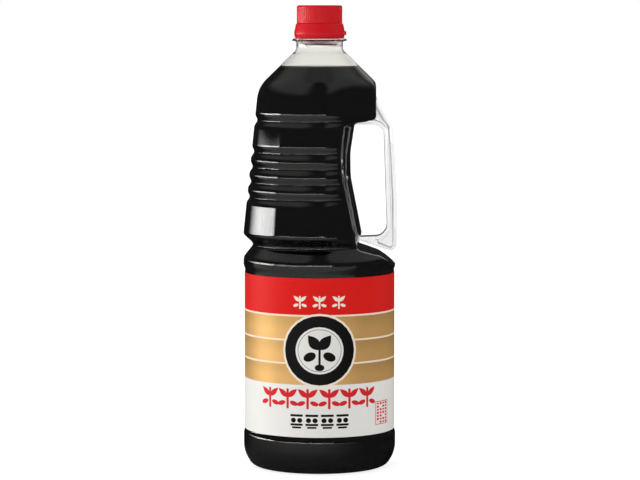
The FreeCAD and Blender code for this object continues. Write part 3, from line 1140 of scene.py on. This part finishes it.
    def seal(self, z: float, arc: float) -> None:
        """Print the small side seal: an outlined panel with columns of short bars."""
        wide, high = self.seal_size
        frame = [block(arc, z, wide, high, 0.6)]
        paper = [block(arc, z, wide - 0.9, high - 0.9, 0.4)]
        bars = []
        for column in range(4):
            for row in range(7):
                if (row * 3 + column) % 8:
                    place = (arc + 3.2 * (column - 1.5), z + 2.1 * (row - 3))
                    bars.append(block(*place, 2.1, 1.0 + 0.35 * ((row + column) % 2), 0.2))
        self.print_shapes("seal_frame", frame, InkLayer.LOW, Ink.RED)
        self.print_shapes("seal_paper", paper, InkLayer.MIDDLE, Ink.WHITE)
        self.print_shapes("seal_bars", bars, InkLayer.HIGH, Ink.RED)

    def glue_overlap(self) -> None:
        """Lay the film's end over its start at the back, band by band."""
        low = self.low
        back = math.pi * self.radius
        for index, band in enumerate(self.bands):
            strip = [block(back, (low + band.top) / 2, self.overlap, band.top - low, 0.0)]
            self.print_shapes(f"label_overlap_{index}", strip, InkLayer.LOW, band.finish)
            low = band.top

    def build(self) -> None:
        """Build the sleeve, its glued overlap at the back and the prints."""
        self.sleeve()
        self.emblem()
        rows = [
            ("band_sprigs", self.sprigs(116.9, [-13.2, 0.0, 13.0], 9.8), Ink.CREAM),
            ("red_row", self.sprigs(52.4, [-36.0, -22.0, -8.0, 6.5, 20.5, 34.5], 15.4), Ink.RED),
            ("black_row", self.beans(36.8, [-15.6, -5.2, 5.2, 15.6], 9.6), Ink.BLACK),
        ]
        for name, shapes, ink in rows:
            self.print_shapes(name, shapes, InkLayer.LOW, ink)
        self.seal(40.0, 49.4)
        self.glue_overlap()


# --- Collar and cap ---


@dataclass
class CapCollar:
    """The cap's lower tier, clipped over the support ring, with a small pull tab."""

    low: float
    high: float
    finish: MouldedPolypropylene
    bore: float = 13.8
    bottom: float = 16.4
    swell: float = 17.4
    top: float = 15.9

    def build(self) -> Piece:
        """Return the finished collar."""
        swell = self.low + 0.32 * (self.high - self.low)
        corners = [
            Corner(self.bore, self.low),
            Corner(self.bottom, self.low, 0.6),
            Corner(self.swell, swell, 6.0),
            Corner(self.top, self.high, 1.2),
            Corner(self.bore, self.high),
        ]
        chain = trace(corners, 1.0, closed=True)
        piece = spin_chain([*chain, chain[0]], 160, "cap_collar")
        smooth_below(40)
        deselect_all()
        bpy.ops.mesh.primitive_cube_add(size=MM, location=(17.0 * MM, 0, (swell + 0.4) * MM))
        tab = bpy.context.object
        tab.scale = (2.2, 5.0, 2.6)
        bpy.ops.object.transform_apply(location=True, rotation=True, scale=True)
        apply_modifier(tab, "BEVEL", width=0.4 * MM, segments=3)
        smooth_below(40)
        finish_piece(settle(tab, "collar_tab"), "red_plastic", materials=(self.finish.build(),))
        finish_piece(piece, "red_plastic", "collar", materials=(self.finish.build(),))
        return piece


@dataclass
class ScrewCap:
    """The screw cap: a cup over the neck's rim with fine grip ribs round its side."""

    low: float
    rim: float
    high: float
    finish: MouldedPolypropylene
    bore: float = 13.8
    outside: float = 15.4
    ribs: int = 60
    rib_depth: float = 0.16

    def build(self) -> Piece:
        """Return the finished cap."""
        corners = [
            Corner(0, self.high),
            Corner(self.outside, self.high, 1.4),
            Corner(self.outside, self.low, 0.3),
            Corner(self.bore, self.low),
            Corner(self.bore, self.rim),
            Corner(0, self.rim),
        ]
        piece = spin_chain(trace(corners, 1.2), 6 * self.ribs, "screw_cap")
        for vertex in piece.data.vertices:
            radius = math.hypot(vertex.co.x, vertex.co.y)
            height = vertex.co.z / MM
            fade = smooth_step(self.low + 0.4, self.low + 1.4, height)
            fade *= 1 - smooth_step(self.high - 2.6, self.high - 1.4, height)
            if radius > (self.bore + 0.4) * MM and fade > 0:
                wave = 0.5 - 0.5 * math.cos(self.ribs * math.atan2(vertex.co.y, vertex.co.x))
                share = 1 - fade * wave * self.rib_depth * MM / radius
                vertex.co.x *= share
                vertex.co.y *= share
        smooth_below(50)
        finish_piece(piece, "red_plastic", "cap", materials=(self.finish.build(),))
        return piece


# --- Studio ---


@dataclass(frozen=True)
class Panel:
    """A soft light seen from the object, in degrees from the front and above the horizon."""

    left: float
    right: float
    low: float
    high: float
    strength: float
    soft: float = 4.0
    soft_up: float = 4.0
    tilt: float = 0.0
    fade: float = 4.0

    def brightness(self, tree: Tree, azimuth: Socket, elevation: Socket) -> Socket:
        """Return the panel's strength in a direction given in degrees."""
        run = maths(tree, "SUBTRACT", azimuth, self.left)
        level = maths(tree, "SUBTRACT", elevation, maths(tree, "MULTIPLY", run, self.tilt))
        strength: object = self.strength
        for value, low, high, soft, fade in (
            (azimuth, self.left, self.right, self.soft, self.fade),
            (level, self.low, self.high, self.soft_up, self.soft_up),
        ):
            rising = smooth_rise(tree, value, low - fade, low + fade)
            falling = smooth_rise(tree, value, high - soft, high + soft)
            inside = maths(tree, "MULTIPLY", rising, maths(tree, "SUBTRACT", 1.0, falling))
            strength = maths(tree, "MULTIPLY", strength, inside)
        return strength


@dataclass
class Studio:
    """Pale floor, soft studio light and the camera."""

    panels: list[Panel]
    eye: tuple[float, float, float] = (0.0003, -1.840, 0.3075)
    target: tuple[float, float, float] = (0.0003, 0.0, 0.1540)
    lens: float = 152.4
    pale: str = "#ffffff"
    warmth: tuple[float, float, float, float] = (1.0, 0.995, 0.98, 1.0)
    board: str = "#bcbcbc"
    floor_radius: float = 9.0
    mottle_mm: float = 500 / 3
    floor_glow: Point = (0.8, 0.35)
    # Painted reflection: what glossy surfaces see of the floor, light near the front and dark
    # behind.
    painted_reflection_near: str = "#dcdcdc"
    painted_reflection_far: str = "#1c1c1c"
    painted_reflection_span: Point = (-0.32, 0.03)
    left_wash: Point = (1.34, 0.46)
    right_wash: float = 0.55
    right_span: Point = (0.25, 1.0)
    floor_slant: float = 0.6

    def shoot_from(self) -> None:
        """Place the camera."""
        deselect_all()
        aim = Vector(self.target) - Vector(self.eye)
        turned = aim.to_track_quat("-Z", "Y").to_euler()
        bpy.ops.object.camera_add(location=self.eye, rotation=turned)
        camera = bpy.context.object
        camera.name = "studio_camera"
        camera.data.lens = self.lens
        camera.data.dof.use_dof = False
        bpy.context.scene.camera = camera
        bpy.context.scene.view_settings.view_transform = "Standard"

    def lay_floor(self) -> None:
        """Lay the pale floor. Glossy rays see a painted reflection on it instead: a grey running
        from light near the front to dark behind.
        """
        deselect_all()
        bpy.ops.mesh.primitive_circle_add(
            vertices=96, radius=self.floor_radius, fill_type="NGON", location=(0, 0, -0.0002)
        )
        floor = settle(bpy.context.object, "studio_floor")
        nodes = MaterialNodes("studio_floor_painted_board")
        tree = nodes.tree
        path = add_node(tree, "ShaderNodeLightPath").outputs
        board = add_node(
            tree,
            "ShaderNodeBsdfPrincipled",
            inputs={
                "Base Color": linear(self.board),
                "Roughness": nodes.spread(nodes.noise(self.mottle_mm), 0.75, 0.85),
                "Specular IOR Level": 0.1,
                "Emission Color": linear(self.pale),
                "Emission Strength": nodes.spread(path["Is Diffuse Ray"], *self.floor_glow),
            },
        )
        # Painted reflection: glossy rays see a diffuse grey, light in front and dark behind,
        # instead of the board.
        away = add_node(tree, "ShaderNodeSeparateXYZ", inputs={0: nodes.place}).outputs
        slant = maths(tree, "MULTIPLY_ADD", away["X"], self.floor_slant, away["Y"])
        tones = {
            "Factor": smooth_rise(tree, slant, *self.painted_reflection_span),
            6: linear(self.painted_reflection_near),
            7: linear(self.painted_reflection_far),
        }
        tone = add_node(tree, "ShaderNodeMix", {"data_type": "RGBA"}, tones).outputs[2]
        dim = add_node(tree, "ShaderNodeBsdfDiffuse", inputs={"Color": tone})
        rays = (path["Is Glossy Ray"], path["Is Transmission Ray"])
        mirrored = maths(tree, "SUBTRACT", *rays, clamp=True)
        both = {"Fac": mirrored, 1: board.outputs[0], 2: dim.outputs[0]}
        material = nodes.close(add_node(tree, "ShaderNodeMixShader", inputs=both))
        floor.data.materials.append(material)

    def light(self) -> None:
        """Paint the soft lights round the object, and pale paper behind it."""
        world = bpy.data.worlds.new("studio_light")
        bpy.context.scene.world = world
        world.use_nodes = True
        tree = world.node_tree
        tree.nodes.clear()
        place = add_node(tree, "ShaderNodeTexCoord").outputs["Generated"]
        axes = add_node(tree, "ShaderNodeSeparateXYZ", inputs={0: place}).outputs

        turned = maths(tree, "ARCTAN2", axes["X"], maths(tree, "MULTIPLY", axes["Y"], -1.0))
        azimuth = maths(tree, "DEGREES", turned)
        elevation = maths(tree, "DEGREES", maths(tree, "ARCSINE", axes["Z"]))
        total: object = 0.0
        for panel in self.panels:
            total = maths(tree, "ADD", total, panel.brightness(tree, azimuth, elevation))
        high, low = self.left_wash
        wash = {"From Min": -1.0, "From Max": 0.1, "To Min": high, "To Max": low}
        left = add_node(tree, "ShaderNodeMapRange", inputs={"Value": axes["X"], **wash}).outputs[0]
        right = smooth_rise(tree, axes["X"], *self.right_span)
        side = maths(tree, "MULTIPLY_ADD", right, self.right_wash, left)
        path = add_node(tree, "ShaderNodeLightPath").outputs
        seen = maths(tree, "MAXIMUM", path["Is Camera Ray"], path["Is Transmission Ray"])

        def glow(colour: tuple[float, float, float, float], strength: object) -> Socket:
            """Return a background of a linear colour and a strength."""
            inputs = {"Color": colour, "Strength": strength}
            return add_node(tree, "ShaderNodeBackground", inputs=inputs).outputs[0]

        def choose(share: Socket, first: Socket, second: Socket) -> Socket:
            """Return the second shader where the share is 1, and the first where it is 0."""
            inputs = {"Fac": share, 1: first, 2: second}
            return add_node(tree, "ShaderNodeMixShader", inputs=inputs).outputs[0]

        lit = choose(path["Is Diffuse Ray"], glow(self.warmth, total), glow(self.warmth, side))
        shown = choose(seen, lit, glow(linear(self.pale), 1.0))
        add_node(tree, "ShaderNodeOutputWorld", inputs={"Surface": shown})


# --- Making the whole ---


def label_bands(base: float, top: float) -> list[Band]:
    """Return the label's bands of colour from its foot to its top."""
    lift = base - 25.9
    cream = PrintedFilm("label_cream_ink", "#ffe9d6")

    def gold(low: float, high: float) -> Band:
        """Return a band of gold between two heights."""
        look = {"metallic": 0.4, "roughness": 0.38, "varnish": 0.2, "shade": "#ddaf6a"}
        span = (low + lift + 4.0, high + lift)
        ink = PrintedFilm("label_gold_metallic_ink", "#f0be78", span_mm=span, **look)
        return Band(high + lift, ink)

    return [
        Band(61.3 + lift, PrintedFilm("label_white_film", "#f3f2ef")),
        gold(61.3, 74.8),
        Band(76.0 + lift, cream),
        gold(76.0, 90.5),
        Band(91.7 + lift, cream),
        gold(91.7, 106.9),
        Band(108.1 + lift, cream),
        Band(top, PrintedFilm("label_red_ink", "#e6150f")),
    ]


def main() -> None:
    """Build the bottle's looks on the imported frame, then the studio."""
    logging.basicConfig(level=logging.INFO, format="%(message)s")
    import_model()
    label_low, label_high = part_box("label")
    collar_low, collar_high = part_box("collar")
    cap_low, cap_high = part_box("cap")
    bottle_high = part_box("bottle")[1]
    liquid_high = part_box("soy_sauce")[1]
    handle_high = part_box("handle")[1]
    form = BottleForm(
        rim=bottle_high.z / MM,
        panel_low=label_low.z / MM - 1.0,
        panel_high=label_high.z / MM + 2.8,
        body_radius=bottle_high.y / MM,
        panel_radius=label_high.x / MM - 0.25,
    )
    wall = ClearPlastic("blown_clear_pet", "#f8f8f4", 0.02, 40.0, 0.02)
    LOG.info("building the shell")
    ClearShell(form, wall).build()
    LOG.info("building the liquid")
    Liquid(form, liquid_high.z / MM, SoySauceLiquid(level=liquid_high.z)).build()
    LOG.info("building the handle")
    moulded = ClearPlastic("moulded_clear_pet", "#fdfefe", 0.06, 7.0, 0.03, haze=0.2)
    SideHandle(form, moulded, reach=handle_high.x / MM).build()
    LOG.info("building the label")
    WrapLabel(
        low=label_low.z / MM,
        high=label_high.z / MM,
        radius=label_high.x / MM,
        bands=label_bands(label_low.z / MM, label_high.z / MM),
    ).build()
    LOG.info("building the closure")
    red = MouldedPolypropylene("moulded_red_polypropylene", "#d9101f")
    CapCollar(collar_low.z / MM, collar_high.z / MM, red).build()
    ScrewCap(cap_low.z / MM, form.rim, cap_high.z / MM, red).build()
    LOG.info("setting the studio")
    studio = Studio(
        panels=[
            # Tall softbox on the left.
            Panel(-118.0, -74.0, -17.0, 3.0, 12.0, soft=3.0, soft_up=0.6, tilt=0.074, fade=20.0),
            # Narrow strip light behind on the right.
            Panel(138.0, 153.0, -7.2, -1.0, 5.0, soft=2.0, soft_up=0.8, fade=2.0),
            # Low, wide board in front.
            Panel(-68.0, 20.0, -1.5, 3.2, 3.4, soft=3.0, soft_up=0.6, tilt=0.03, fade=3.0),
            # Dim board high up behind on the right.
            Panel(152.0, 168.0, 14.0, 34.0, 0.8, soft=4.0, soft_up=5.0, fade=16.0),
            # Dim cloths above on both sides and overhead, and the room's own glow.
            Panel(-140.0, -25.0, 30.0, 78.0, 0.36, soft=14.0, soft_up=10.0, fade=14.0),
            Panel(25.0, 140.0, 30.0, 78.0, 0.36, soft=14.0, soft_up=10.0, fade=14.0),
            Panel(-181.0, 181.0, 80.0, 100.0, 0.25, soft=0.5, soft_up=6.0, fade=0.5),
            Panel(-181.0, 181.0, -91.0, 91.0, 0.02, soft=0.5, soft_up=0.5, fade=0.5),
        ]
    )
    studio.lay_floor()
    studio.light()
    studio.shoot_from()


if __name__ == "__main__":
    main()
